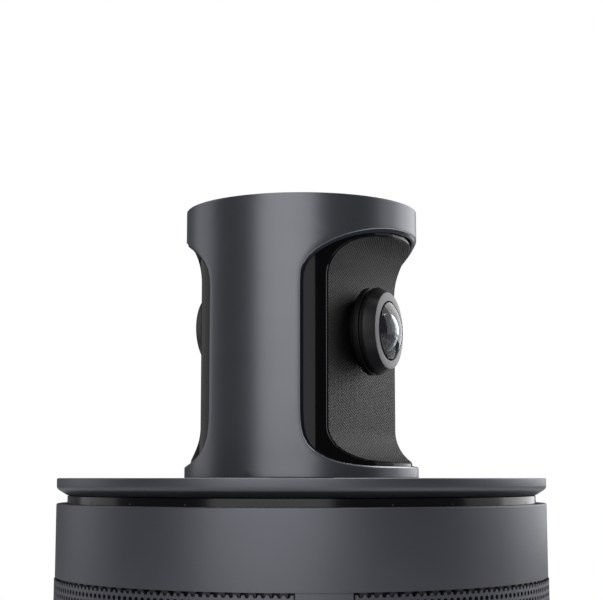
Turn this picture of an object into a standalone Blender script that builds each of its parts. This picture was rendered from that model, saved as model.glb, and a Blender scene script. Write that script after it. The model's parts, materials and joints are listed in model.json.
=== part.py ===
"""Table-top conference camera: a round loudspeaker base and a panning turret with two fisheye lenses.

Millimetres are used for every size below and turned to metres where a mesh is made. The origin is the
centre of the footprint on the table, +Z is up and the base's plain front strip faces -Y. An azimuth is
measured from -Y towards +X.
"""

import math

import bmesh
import bpy
from mathutils import Matrix

MM = 0.001
FIT = 0.3                    # gap kept between touching pieces

# Facets round a full turn
ROUND = 48                   # base and turret
MEDIUM = 28                  # speaker, hub
SMALL = 20                   # lenses, motor
TINY = 10                    # screws, capsules

# Base drum
BASE_R = 60.0
WALL = 2.3                   # drum wall
DRUM_BOTTOM = 3.0
DRUM_TOP = 92.0
LEDGE_R = 50.0               # inner edge of the ledge that the bottom plate is screwed to
LEDGE_Z = (5.6, 8.6)
GRILLE_BOTTOM = 12.5
GRILLE_TOP = 74.2
GRILLE_GAP = 0.9             # shadow line above the grille
GRILLE_PROUD = 0.2
GRILLE_THICK = 1.2
STRIP_HALF_DEG = 5.75        # plain front strip between the two grilles
REAR_HALF_DEG = 30.0         # plain rear strip that carries the sockets
LOCATOR = (55.9, 57.3, 70.0, 77.0)           # inner and outer radius, foot and head
CLOTH = (56.2, 57.0, 9.2, 69.5)
REAR_ROOM = ((-25, 25), (40, 70), (0, 80))   # left free of both for the sockets
FOOT_RING = (45.0, 51.0, 0.0, 3.0)
PLATE_Z = (3.3, 5.3)

# Screws: the shank, the hole it passes through and its head
SHANK_R = 1.2
SHANK_BORE_R = 1.6
HEAD_R = 2.4
BOTTOM_SCREW_R = 54.3        # circle they stand on
BOTTOM_SCREW_Z = (1.5, 3.0, 7.9)             # face of the head, its seat, and the tip

# Deck: the wide disc that the turret turns on
DECK_TOP = 98.0
DECK_FACE = 2.6              # height of its upright edge
DECK_THICK = 3.9
DECK_UNDER_R = 57.4
BOSS_R = 17.0
BOSS_BOTTOM = 88.0
BUSH_R = 11.0
RING_INNER_R = 54.0          # black microphone ring under the deck
RING_BOTTOM = 87.0
MIC_BOARD = (41.0, 53.4)     # inner and outer radius
MIC_BOARD_Z = (85.6, 86.7)
CAPSULE_CIRCLE = 49.5
CAPSULE_R = 2.4
CAPSULE_HEIGHT = 1.6

# Turret
TURRET_R = 29.1
SHELL_WALL = 1.2
TURRET_TOP = DECK_TOP + 66.5
TOP_EDGE_R = 0.8
CAP_THICK = 2.7
LENS_AZ = 60.5               # azimuth of lens a; lens b looks the opposite way
WINDOW_HALF = 26.5
WINDOW_Z = (DECK_TOP + 2.4, DECK_TOP + 59.8)
WINDOW_FOOT = (14.0, 4.0)    # height of the curved part and how square its corners are
WINDOW_HEAD = (14.5, 2.8)
CORE_R = TURRET_R - SHELL_WALL - FIT - 0.05
CORE_BOTTOM = 99.8
CORE_TOP = TURRET_TOP - CAP_THICK - FIT
CAVITY = (13.2, 19.0, 157.0)     # half depth, half width and ceiling of the core's hollow
HUB_SCREW = (7.0, 23.0)          # places of the screws: along and across the lens axis
HUB_SCREW_TIP = 107.0
TURRET_BOARD = ((-17, 17), (0.3, 1.5), (104, 152))
CUT_REACH = 34.0                 # cutters run this far, past the turret's face

# Recess round each lens: a flat back that flares out at the top and bottom
RECESS_BACK = 16.6
RECESS_MOUTH = 27.7
RECESS_TOP_C = DECK_TOP + 46.9
RECESS_FOOT_C = DECK_TOP + 12.05
RECESS_FOOT_H = 8.6
LINING = 0.8                     # thickness of the textured lining
LINING_REACH = 24.8              # the lining stops here, short of the core's round face

# Lens modules: height, and how far each is set out from where lens a stands
MODULES = {"a": (0.0, DECK_TOP + 35.8, 0.0), "b": (180.0, DECK_TOP + 37.9, 1.45)}
BARREL_BORE_R = 7.6
BARREL_R = 8.4
COLLAR_R = 10.0              # groove between the barrel's flange and the bezel
BEZEL_R = 10.8
BEZEL_FACE_R = 9.43
GLASS_R = 7.0
DOME_APEX = 26.45
DOME_R = 11.9
LENS_MOUNT = 21.0            # side of the square mount and of the sensor's board
MOUNT_Y = (-10.2, -5.2)
SENSOR_BOARD_Y = (-4.8, -3.6)
SENSOR = ((-5, 5), (-6.1, -5.1), (-4, 4))

# Pan drive
SHAFT_R = 8.0
SHAFT_BORE_R = 5.0
SHAFT_BOTTOM = 78.0
HUB_FLANGE_R = 26.5
HARNESS = (2.2, 60.2, 103.0)     # radius, foot and head
MODULE = 0.8
GEAR_TEETH = 48
PINION_TEETH = 12
GEAR_Z = (82.0, 85.0)
MOTOR_R = 10.0
MOTOR_Z = (64.0, 78.0)
SPINDLE_R = 1.5
SPINDLE_FOOT = 72.0
WELL = (1.8, 71.0)               # radius and floor of the motor's spindle well
BRACKET = 1.3                    # sheet thickness
BRACKET_HALF = 16.0
BRACKET_REACH = (6.0, 11.0)      # towards the pan axis and away from it, from the spindle
LEG_WIDTH = 4.5

# Boards, sockets and button
BOARD_Z = (58.0, 59.6)
BOARD_R = 50.0
PORT_WINDOW = (-23.0, 22.0, 60.5, 73.0)      # x and z limits of the opening in the drum
PANEL_Y = (50.9, 52.1)
SOCKET_BACK = 0.3
BUTTON_Z = 81.9
BUTTON_R = 3.6
BUTTON_FLANGE_R = 4.6
BUTTON_STEM_R = 1.6
SINK_HALF = 14.0
SINK_Y = (14, 38)
SINK_HEIGHT = 9.0
SINK_FLOOR = 2.5
FINS = 5
FIN = 2.4
FIN_SPACE = 4.0
JACK_X = 15.7                # round power socket: place, height over the board and radius
JACK_HEIGHT = 6.0
JACK_R = 3.2

# Loudspeaker, firing down
DRIVER_Z = 24.0
BOX_R = 50.0
BOX_TOP = 55.0
BOX_WALL = 2.0
BASKET_R = 47.6
ROLL_R = (29.6, 37.0)        # inner and outer radius of the surround
ROLL_THIN = 0.84             # inner face of the surround's roll, as a share of its outer one
CONE_R = 29.2
MAGNET_R = 19.0
POLE_R = 11.2
HORN_R = 30.0                # the diffuser's flared middle
HORN_Z = (6.8, 18.0)
DIFFUSER_R = 40.0


def clear_scene():
    for item in list(bpy.data.objects):
        bpy.data.objects.remove(item, do_unlink=True)


def collection(name):
    made = bpy.data.collections.new(name)
    bpy.context.scene.collection.children.link(made)
    return made


FINISHES = {
    "anodised": ("#4A4C52", 0.38, 0.85),
    "gloss_black": ("#0B0B0C", 0.12, 0.0),
    "matte_black": ("#1A1A1B", 0.55, 0.0),
    "textured_black": ("#2A2A2A", 0.6, 0.0),
    "ring_grey": ("#5A5A5C", 0.35, 0.6),
    "glass": ("#1A222C", 0.03, 0.0),
    "circuit_green": ("#1E4A32", 0.5, 0.0),
    "steel": ("#A8A8A8", 0.35, 1.0),
    "brass": ("#B5964B", 0.4, 1.0),
    "heat_sink": ("#3A3A3C", 0.5, 0.9),
    "natural_nylon": ("#D8D4C8", 0.5, 0.0),
    "cloth": ("#101010", 0.95, 0.0),
    "rubber": ("#151515", 0.8, 0.0),
    "paper": ("#2C2A28", 0.9, 0.0),
}


def linear(channel):
    return channel / 12.92 if channel <= 0.04045 else ((channel + 0.055) / 1.055) ** 2.4


def finish_for(part, finish):
    """A material of the part's own, in one of the finishes above."""
    hexa, rough, metal = FINISHES[finish]
    made = bpy.data.materials.new(part)
    made.use_nodes = True
    shader = made.node_tree.nodes["Principled BSDF"]
    rgb = [linear(int(hexa[i:i + 2], 16) / 255) for i in (1, 3, 5)]
    shader.inputs["Base Color"].default_value = (*rgb, 1.0)
    shader.inputs["Roughness"].default_value = rough
    shader.inputs["Metallic"].default_value = metal
    return made


def place(name, mesh, finish=None):
    """An object in the model, or a cutter when it has no finish."""
    item = bpy.data.objects.new(name, mesh)
    if finish:
        mesh.materials.append(finish_for(name, finish))
        PARTS.objects.link(item)
    else:
        CUTTERS.objects.link(item)
        item.hide_render = True
        item.display_type = "WIRE"
    return item


def turned(name, profile, finish=None, steps=ROUND, ring=False):
    """A profile of (radius, height) points, from the top down the outer side, turned round +Z."""
    mesh = bpy.data.meshes.new(name)
    points = [(r * MM, 0.0, z * MM) for r, z in profile]
    edges = [(i, i + 1) for i in range(len(points) - 1)]
    if ring:
        edges.append((len(points) - 1, 0))
    mesh.from_pydata(points, edges, [])
    item = place(name, mesh, finish)
    screw = item.modifiers.new("turn", "SCREW")
    screw.axis = "Z"
    screw.angle = math.tau
    screw.steps = steps
    screw.render_steps = steps
    screw.use_merge_vertices = True
    screw.merge_threshold = 0.00001
    screw.use_smooth_shade = True
    return item


def tube(name, r_in, r_out, z_low, z_high, finish=None, steps=ROUND):
    outline = [(r_out, z_high), (r_out, z_low), (r_in, z_low), (r_in, z_high)]
    return turned(name, outline, finish, steps, ring=True)


def rod(name, r, z_low, z_high, finish=None, steps=SMALL):
    return turned(name, [(0, z_high), (r, z_high), (r, z_low), (0, z_low)], finish, steps)


def prism(name, outline, low, high, finish=None, upright=True):
    """An outline of (u, v) points pushed from low to high.

    Upright prisms have their outline in X and Y and rise along Z. The others have it in X and Z and
    run along -Y, so low and high are distances towards the front.
    """
    shape = bmesh.new()
    if upright:
        verts = [shape.verts.new((u * MM, v * MM, low * MM)) for u, v in outline]
        push = (0, 0, (high - low) * MM)
    else:
        verts = [shape.verts.new((u * MM, -low * MM, v * MM)) for u, v in outline]
        push = (0, -(high - low) * MM, 0)
    face = shape.faces.new(verts)
    moved = bmesh.ops.extrude_face_region(shape, geom=[face])["geom"]
    bmesh.ops.translate(shape, vec=push, verts=[v for v in moved if isinstance(v, bmesh.types.BMVert)])
    bmesh.ops.recalc_face_normals(shape, faces=shape.faces)
    mesh = bpy.data.meshes.new(name)
    shape.to_mesh(mesh)
    shape.free()
    return place(name, mesh, finish)


def box(name, x, y, z, finish=None):
    """A block between the two limits given along each axis."""
    shape = bmesh.new()
    size = [(high - low) * MM for low, high in (x, y, z)]
    centre = [(high + low) * MM / 2 for low, high in (x, y, z)]
    bmesh.ops.create_cube(shape, size=1.0, matrix=Matrix.Translation(centre) @ Matrix.Diagonal((*size, 1.0)))
    mesh = bpy.data.meshes.new(name)
    shape.to_mesh(mesh)
    shape.free()
    return place(name, mesh, finish)


def boolean(item, other, operation="DIFFERENCE"):
    step = item.modifiers.new(operation.lower(), "BOOLEAN")
    step.operation = operation
    step.solver = "EXACT"
    step.object = other


def swing(item, azimuth, height=0.0):
    """Turns a piece built facing -Y to an azimuth, and lifts it."""
    item.rotation_euler = (0, 0, math.radians(azimuth))
    item.location = (0, 0, height * MM)
    return item


def aim(item, azimuth, height, out=0.0):
    """Lays a piece turned round +Z along a lens axis, moved out along it."""
    turn = math.radians(azimuth)
    item.rotation_euler = (math.pi / 2, 0, turn)
    item.location = (out * math.sin(turn) * MM, -out * math.cos(turn) * MM, height * MM)
    return item


def stand(item, x, y):
    item.location = (x * MM, y * MM, 0)
    return item


def arc(centre, radii, start, end, steps):
    """Points on an ellipse between two angles in degrees, both ends included."""
    angles = [math.radians(start + (end - start) * i / steps) for i in range(steps + 1)]
    return [(centre[0] + radii[0] * math.cos(a), centre[1] + radii[1] * math.sin(a)) for a in angles]


def sector(r_in, r_out, start, end, steps):
    """Outline of a ring's sector between two azimuths."""
    outer = arc((0, 0), (r_out, r_out), start - 90, end - 90, steps)
    inner = arc((0, 0), (r_in, r_in), end - 90, start - 90, steps)
    return outer + inner


# ---- Base ----


def base_drum():
    inner = BASE_R - WALL
    edge = 0.4
    profile = [
        (inner, DRUM_TOP),
        (BASE_R - edge, DRUM_TOP),
        (BASE_R, DRUM_TOP - edge),
        (BASE_R, DRUM_BOTTOM + edge),
        (BASE_R - edge, DRUM_BOTTOM),
        (inner, DRUM_BOTTOM),
        (inner, LEDGE_Z[0]),
        (LEDGE_R, LEDGE_Z[0]),
        (LEDGE_R, LEDGE_Z[1]),
        (inner, LEDGE_Z[1]),
    ]
    drum = turned("base_housing", profile, "anodised", ring=True)
    for side, sign in (("right", 1), ("left", -1)):
        limits = (sign * STRIP_HALF_DEG, sign * (180 - REAR_HALF_DEG))
        opening = sector(BASE_R - 5, BASE_R + 5, *limits, 18)
        low, high = GRILLE_BOTTOM - FIT, GRILLE_TOP + GRILLE_GAP
        boolean(drum, prism("cut_grille_" + side, opening, low, high))
        gap = math.degrees(FIT / BASE_R)
        outer = BASE_R + GRILLE_PROUD
        limits = (sign * (STRIP_HALF_DEG + gap), sign * (180 - REAR_HALF_DEG - gap))
        sheet = sector(outer - GRILLE_THICK, outer, *limits, 22)
        prism("grille_" + side, sheet, GRILLE_BOTTOM, GRILLE_TOP, "anodised")
    x_low, x_high, z_low, z_high = PORT_WINDOW
    boolean(drum, box("cut_ports", (x_low, x_high), (45, 70), (z_low, z_high)))
    hole = rod("cut_button", BUTTON_R + 0.4, 50, 70, steps=SMALL)
    hole.rotation_euler = (-math.pi / 2, 0, 0)
    hole.location = (0, 0, BUTTON_Z * MM)
    boolean(drum, hole)
    locator = tube("grille_locating_ring", *LOCATOR, "matte_black")
    cloth = tube("acoustic_cloth", *CLOTH, "cloth")
    rear = box("cut_rear", *REAR_ROOM)
    boolean(locator, rear)
    boolean(cloth, rear)
    return drum


def bottom(drum):
    plate = rod("bottom_plate", BASE_R - WALL - 0.4, *PLATE_Z, "matte_black", ROUND)
    tube("foot_ring", *FOOT_RING, "rubber")
    face, seat, tip = BOTTOM_SCREW_Z
    for number in (1, 2, 3):
        turn = math.radians(120 * number - 90)
        spot = (BOTTOM_SCREW_R * math.cos(turn), BOTTOM_SCREW_R * math.sin(turn))
        bore = stand(rod(f"cut_bottom_screw_{number}", SHANK_BORE_R, 0, tip + FIT, steps=TINY), *spot)
        boolean(plate, bore)
        boolean(drum, bore)
        profile = [(0, tip), (SHANK_R, tip), (SHANK_R, seat), (HEAD_R, seat), (HEAD_R, face), (0, face)]
        stand(turned(f"bottom_screw_{number}", profile, "steel", TINY), *spot)


def speaker():
    low = DRIVER_Z
    shell = [
        (0, BOX_TOP),
        (BOX_R, BOX_TOP),
        (BOX_R, low - 2),
        (BOX_R - BOX_WALL, low - 2),
        (BOX_R - BOX_WALL, BOX_TOP - BOX_WALL),
        (0, BOX_TOP - BOX_WALL),
    ]
    turned("speaker_enclosure", shell, "matte_black", MEDIUM)
    basket = [
        (17, 40.0),
        (36, low + 3.4),
        (BASKET_R, low + 3.4),
        (BASKET_R, low + 1.6),
        (35.4, low + 1.6),
        (16, 38.4),
        (12, 38.4),
        (12, 40.0),
    ]
    turned("speaker_basket", basket, "steel", MEDIUM, ring=True)
    middle = sum(ROLL_R) / 2
    roll = (ROLL_R[1] - ROLL_R[0]) / 2
    under = low + 0.9
    top = arc((middle, under), (roll, roll), 180, 0, 4)
    top = [(r, under - (z - under)) for r, z in top]
    back = [(middle + (r - middle) * ROLL_THIN, under + (z - under) * ROLL_THIN) for r, z in reversed(top)]
    turned("speaker_surround", [*reversed(back), *reversed(top)], "rubber", MEDIUM, ring=True)
    cone = [
        (0, 33.6),
        (8.6, 33.2),
        (9.6, 36.6),
        (10.6, 36.6),
        (CONE_R, low + 1.3),
        (CONE_R, low + 0.5),
        (10.4, 34.9),
        (8.2, 32.4),
        (0, 32.8),
    ]
    turned("speaker_cone", cone, "paper", MEDIUM)
    rear = MAGNET_R - 1.5
    magnet = [(0, 50), (rear, 50), (rear, 42.6), (MAGNET_R, 42.6), (MAGNET_R, 40.4), (POLE_R, 40.4)]
    magnet += [(POLE_R, 37.6), (0, 37.6)]
    turned("speaker_magnet", magnet, "steel", MEDIUM)
    rim, peak = HORN_Z
    slope = [(HORN_R * i / 6, rim + (peak - rim) * (1 - i / 6) ** 2) for i in range(7)]
    foot = PLATE_Z[1] + FIT
    diffuser = [*slope, (DIFFUSER_R, rim), (DIFFUSER_R, foot), (0, foot)]
    turned("acoustic_diffuser", diffuser, "matte_black", MEDIUM)


def deck():
    under = DECK_TOP - DECK_THICK
    edge = 0.3
    lip = arc((DECK_UNDER_R, DECK_TOP - DECK_FACE), (BASE_R - DECK_UNDER_R, DECK_THICK - DECK_FACE), 0, -90, 3)
    profile = [
        (BUSH_R + FIT, DECK_TOP),
        (BASE_R - edge, DECK_TOP),
        (BASE_R, DECK_TOP - edge),
        *lip,
        (BOSS_R, under),
        (BOSS_R, BOSS_BOTTOM),
        (BUSH_R + FIT, BOSS_BOTTOM),
    ]
    turned("deck_disc", profile, "anodised", ring=True)
    tube("pan_bush", SHAFT_R + FIT, BUSH_R, BOSS_BOTTOM - 0.5, DECK_TOP - 0.2, "brass", MEDIUM)
    tube("mic_ring", RING_INNER_R, DECK_UNDER_R, RING_BOTTOM, under - FIT, "gloss_black")
    board = tube("mic_board", *MIC_BOARD, *MIC_BOARD_Z, "circuit_green", MEDIUM)
    boolean(board, box("cut_mic_board", (-7, 7), (48.5, 60), (80, 90)))
    for number in (1, 2, 3):
        turn = math.radians(120 * number - 90)
        spot = (CAPSULE_CIRCLE * math.cos(turn), CAPSULE_CIRCLE * math.sin(turn))
        low = MIC_BOARD_Z[1] + FIT
        stand(rod(f"mic_capsule_{number}", CAPSULE_R, low, low + CAPSULE_HEIGHT, "steel", TINY), *spot)


# ---- Pan drive ----


def gear_outline(teeth, offset_deg=0.0):
    """Straight-flanked teeth with room on each side, the first centred at the offset."""
    pitch_r = MODULE * teeth / 2
    turn = math.tau / teeth
    shape = [(-0.32, pitch_r - 1.0), (-0.10, pitch_r + 0.65), (0.10, pitch_r + 0.65), (0.32, pitch_r - 1.0)]
    points = []
    for tooth in range(teeth):
        for part, r in shape:
            angle = math.radians(offset_deg) + (tooth + part) * turn
            points.append((r * math.cos(angle), r * math.sin(angle)))
    return points


def pan_drive():
    spacing = MODULE * (GEAR_TEETH + PINION_TEETH) / 2
    flange = (DECK_TOP + 0.4, CORE_BOTTOM - FIT)
    profile = [
        (SHAFT_BORE_R, flange[1]),
        (HUB_FLANGE_R, flange[1]),
        (HUB_FLANGE_R, flange[0]),
        (SHAFT_R, flange[0]),
        (SHAFT_R, SHAFT_BOTTOM),
        (SHAFT_BORE_R, SHAFT_BOTTOM),
    ]
    hub = turned("pan_hub", profile, "steel", MEDIUM, ring=True)
    gear = prism("pan_gear", gear_outline(GEAR_TEETH), *GEAR_Z, "natural_nylon")
    boolean(gear, rod("cut_gear_bore", SHAFT_R + FIT, 80, 90, steps=MEDIUM))
    tube("retaining_ring", SHAFT_R + FIT, SHAFT_R + 3.0, GEAR_Z[0] - 1.6, GEAR_Z[0] - FIT, "steel", SMALL)
    rod("pan_harness", *HARNESS, "rubber", TINY)

    half_tooth = 180 / PINION_TEETH
    pinion = prism("motor_pinion", gear_outline(PINION_TEETH, half_tooth), GEAR_Z[0] - 0.5, GEAR_Z[1] + 0.5, "brass")
    stand(pinion, 0, spacing)
    spindle = rod("join_motor_spindle", SPINDLE_R, SPINDLE_FOOT, GEAR_Z[1] + 1.2, steps=TINY)
    stand(spindle, 0, spacing)
    boolean(pinion, spindle, "UNION")
    low, high = MOTOR_Z
    well_r, floor = WELL
    motor = [(0, floor), (well_r, floor), (well_r, high), (MOTOR_R, high), (MOTOR_R, low), (0, low)]
    stand(turned("pan_motor", motor, "steel", SMALL), 0, spacing)
    near, far = BRACKET_REACH
    sheet = (high + FIT, high + FIT + BRACKET)
    plate = box("motor_bracket", (-BRACKET_HALF, BRACKET_HALF), (spacing - near, spacing + far), sheet, "steel")
    boolean(plate, stand(rod("cut_bracket", 4.0, high - 2, high + 4, steps=SMALL), 0, spacing))
    for side in (-1, 1):
        x = sorted((side * (BRACKET_HALF - LEG_WIDTH), side * BRACKET_HALF))
        leg_top = DECK_TOP - DECK_THICK - FIT
        leg = box(f"join_leg_{side + 1}", x, (spacing + 4, spacing + far), (high + 1.0, leg_top))
        boolean(plate, leg, "UNION")
    return hub


# ---- Turret ----


def oval_quarter(middle, height, squareness, start, steps=6):
    """A quarter of a squared-off oval as wide as the window, from an angle in degrees onwards."""
    points = []
    for i in range(steps + 1):
        angle = math.radians(start + 90 * i / steps)
        x, z = math.cos(angle), math.sin(angle)
        x = math.copysign(abs(x) ** (2 / squareness), x) * WINDOW_HALF
        z = math.copysign(abs(z) ** (2 / squareness), z) * height
        points.append((x, middle + z))
    return points


def window_outline():
    foot = (WINDOW_Z[0] + WINDOW_FOOT[0], *WINDOW_FOOT)
    head = (WINDOW_Z[1] - WINDOW_HEAD[0], *WINDOW_HEAD)
    right = oval_quarter(*foot, 270) + oval_quarter(*head, 0)
    left = oval_quarter(*head, 90) + oval_quarter(*foot, 180)
    return right + left[1:-1]


def recess_outline(extra=0.0, reach=36.0):
    """Side view of the recess as (distance out, height): flat back, flared foot and head."""
    depth = RECESS_MOUTH - RECESS_BACK + extra
    foot = arc((RECESS_MOUTH, RECESS_FOOT_C), (depth, RECESS_FOOT_H + extra), 270, 180, 6)
    head = arc((RECESS_MOUTH, RECESS_TOP_C), (depth, depth), 180, 90, 6)
    flare = [(out, z) for out, z in foot + head if out < reach]
    if reach < RECESS_MOUTH:
        return [(reach, flare[0][1]), *flare, (reach, flare[-1][1])]
    return [(reach, foot[0][1]), *flare, (reach, head[-1][1])]


def across(name, outline, half, finish=None):
    """A side-view outline of (distance out, height) pushed across the lens axis, facing -Y."""
    shape = prism(name, outline, -half, half, finish, upright=False)
    shape.data.transform(Matrix.Rotation(-math.pi / 2, 4, "Z"))
    return shape


def recess(core, side, azimuth):
    cut = swing(across("cut_recess_" + side, recess_outline(), CUT_REACH), azimuth)
    boolean(core, cut)
    pocket = across("cut_pocket_" + side, recess_outline(LINING + FIT, LINING_REACH + FIT), CUT_REACH)
    boolean(core, swing(pocket, azimuth))
    front = recess_outline(0.0, LINING_REACH)
    back = recess_outline(LINING, LINING_REACH)
    lining = across("lens_surround_" + side, [*front, *reversed(back)], 24, "textured_black")
    swing(lining, azimuth)
    bounds = rod("keep_lining_" + side, CORE_R - FIT, 90, 170, steps=ROUND)
    boolean(lining, bounds, "INTERSECT")
    return lining


def lens_module(core, lining, side, turn, height, out):
    azimuth = LENS_AZ + turn

    def along(item):
        return aim(item, azimuth, height, out)

    bore = aim(rod("cut_lens_" + side, BARREL_R + FIT, 8, 21), azimuth, height)
    boolean(core, bore)
    boolean(lining, bore)
    barrel = [
        (BARREL_BORE_R, 20.3),
        (COLLAR_R, 20.3),
        (COLLAR_R, 19.9),
        (BEZEL_R, 19.9),
        (BEZEL_R, 18.4),
        (BARREL_R, 18.4),
        (BARREL_R, 6.5),
        (BARREL_BORE_R, 6.5),
    ]
    along(turned("lens_barrel_" + side, barrel, "matte_black", SMALL, ring=True))
    bezel = [
        (GLASS_R + FIT, 24.0),
        (BEZEL_FACE_R, 23.75),
        (BEZEL_R, 21.4),
        (BEZEL_R, 20.6),
        (8.4, 20.6),
        (GLASS_R + FIT, 21.4),
    ]
    along(turned("lens_bezel_" + side, bezel, "ring_grey", SMALL, ring=True))
    half = math.degrees(math.asin(GLASS_R / DOME_R))
    front = arc((0, DOME_APEX - DOME_R), (DOME_R, DOME_R), 90, 90 - half, 4)
    hollow_r = 6.6
    back = arc((0, 24.9 - hollow_r), (hollow_r, hollow_r), 28, 90, 4)
    dome = [(0, DOME_APEX), *front[1:], (GLASS_R, 21.6), (back[0][0], 21.6), *back[1:-1], (0, 24.9)]
    along(turned("lens_dome_" + side, dome, "glass", SMALL))
    bulge = arc((0, 6.0), (12.0, 12.0), 90, 54, 4)
    element = [(0, 18.0), *bulge[1:], (7.2, 12.6), (0, 12.6)]
    along(turned("lens_rear_element_" + side, element, "glass", SMALL))
    half = LENS_MOUNT / 2
    plate = (-half, half)
    mount = box("lens_mount_" + side, plate, MOUNT_Y, plate, "matte_black")
    seat = rod("cut_mount_" + side, BARREL_R + FIT, 3, 14)
    seat.rotation_euler = (math.pi / 2, 0, 0)
    seat.parent = mount
    boolean(mount, seat)
    board = box("sensor_board_" + side, plate, SENSOR_BOARD_Y, plate, "circuit_green")
    sensor = box("image_sensor_" + side, *SENSOR, "gloss_black")
    for item in (mount, board, sensor):
        turn_rad = math.radians(azimuth)
        item.rotation_euler = (0, 0, turn_rad)
        item.location = (out * math.sin(turn_rad) * MM, -out * math.cos(turn_rad) * MM, height * MM)


def turret(hub):
    inner = TURRET_R - SHELL_WALL
    rim = arc((TURRET_R - TOP_EDGE_R, TURRET_TOP - TOP_EDGE_R), (TOP_EDGE_R, TOP_EDGE_R), 90, 0, 3)
    foot = DECK_TOP + FIT
    shell = turned("turret_shell", [(inner, TURRET_TOP), *rim, (TURRET_R, foot), (inner, foot)], "anodised", ring=True)
    rod("top_cap", inner - 0.4, TURRET_TOP - CAP_THICK, TURRET_TOP - 0.1, "anodised", ROUND)
    core = rod("turret_core", CORE_R, CORE_BOTTOM, CORE_TOP, "gloss_black", ROUND)
    for side, (turn, height, out) in MODULES.items():
        azimuth = LENS_AZ + turn
        opening = prism("cut_window_" + side, window_outline(), 8, 40, upright=False)
        boolean(shell, swing(opening, azimuth))
        lining = recess(core, side, azimuth)
        lens_module(core, lining, side, turn, height, out)
    depth, width, ceiling = CAVITY
    hollow = swing(box("cut_cavity", (-width, width), (-depth, depth), (90, ceiling)), LENS_AZ)
    boolean(core, hollow)
    swing(box("turret_board", *TURRET_BOARD, "circuit_green"), LENS_AZ)
    turn = math.radians(LENS_AZ)
    along, over = HUB_SCREW
    for number, (d, t) in enumerate(((along, over), (-along, -over)), 1):
        x = d * math.sin(turn) + t * math.cos(turn)
        y = -d * math.cos(turn) + t * math.sin(turn)
        bore = rod(f"cut_hub_screw_{number}", SHANK_R + FIT, 90, HUB_SCREW_TIP + 0.5, steps=TINY)
        stand(bore, x, y)
        boolean(core, bore)
        boolean(hub, bore)
        screw = rod(f"hub_screw_{number}", SHANK_R, DECK_TOP + 0.6, HUB_SCREW_TIP, "steel", TINY)
        stand(screw, x, y)


# ---- Electronics in the base ----


def electronics():
    board = rod("main_board", BOARD_R, *BOARD_Z, "circuit_green", MEDIUM)
    boolean(board, rod("cut_board", 4.0, 50, 70, steps=TINY))
    foot = BOARD_Z[1] + FIT
    outline = [(-SINK_HALF, foot), (SINK_HALF, foot)]
    top, floor = foot + SINK_HEIGHT, foot + SINK_FLOOR
    for fin in range(FINS):
        right = SINK_HALF - (FIN + FIN_SPACE) * fin
        outline += [(right, top), (right - FIN, top)]
        if fin < FINS - 1:
            outline += [(right - FIN, floor), (right - FIN - FIN_SPACE, floor)]
    prism("heat_sink", outline, *SINK_Y, "heat_sink", upright=False)

    face = PANEL_Y[0] - SOCKET_BACK
    panel = box("port_panel", (-23.4, 23.4), PANEL_Y, (60.1, 73.6), "matte_black")
    network = box("network_socket", (-21, -5), (34.4, face), (foot, foot + 13.4), "steel")
    plug = box("cut_network", (-18.9, -7.1), (38.5, 60), (foot + 2.4, foot + 10.6))
    usb = box("usb_socket", (-1.6, 7.6), (43.0, face), (foot, foot + 3.6), "steel")
    slot = box("cut_usb", (-1.1, 7.1), (45, 60), (foot + 0.5, foot + 3.1))
    power = box("power_socket", (11.2, 20.2), (37, face), (foot, foot + 11.0), "matte_black")
    hole = tube("cut_power", 1.0, JACK_R, 38.5, 60, steps=SMALL)
    mouth = rod("cut_power_mouth", JACK_R, 50.0, 60, steps=SMALL)
    for item in (hole, mouth):
        item.rotation_euler = (-math.pi / 2, 0, 0)
        item.location = (JACK_X * MM, 0, (foot + JACK_HEIGHT) * MM)
    for socket, cutter in ((network, plug), (usb, slot), (power, hole)):
        boolean(socket, cutter)
        if cutter is not hole:
            boolean(panel, cutter)
    boolean(panel, mouth)
    cap = [(0, 59.9), (BUTTON_R - 0.3, 59.7), (BUTTON_R, 59.3), (BUTTON_R, 56.7)]
    cap += [(BUTTON_FLANGE_R, 56.7), (BUTTON_FLANGE_R, 55.8)]
    cap += [(BUTTON_STEM_R, 55.8), (BUTTON_STEM_R, 55.0), (0, 55.0)]
    button = turned("power_button", cap, "gloss_black", SMALL)
    button.rotation_euler = (-math.pi / 2, 0, 0)
    button.location = (0, 0, BUTTON_Z * MM)
    box("power_switch", (-3, 3), (49.5, 53.9), (BUTTON_Z - 3, BUTTON_Z + 3), "matte_black")


clear_scene()
PARTS = collection("conference_camera")
CUTTERS = collection("cutters")
bottom(base_drum())
speaker()
deck()
turret(pan_drive())
electronics()
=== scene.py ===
"""Table-top conference camera: a round loudspeaker base and a panning turret with two fisheye lenses.

Sizes are in millimetres here and turned to metres where a mesh is made. The places of the pieces come
from the CAD model. An azimuth is measured from the front (-Y) towards +X.
"""

import json
import math

import bmesh
import bpy
from mathutils import Matrix, Vector


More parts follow.
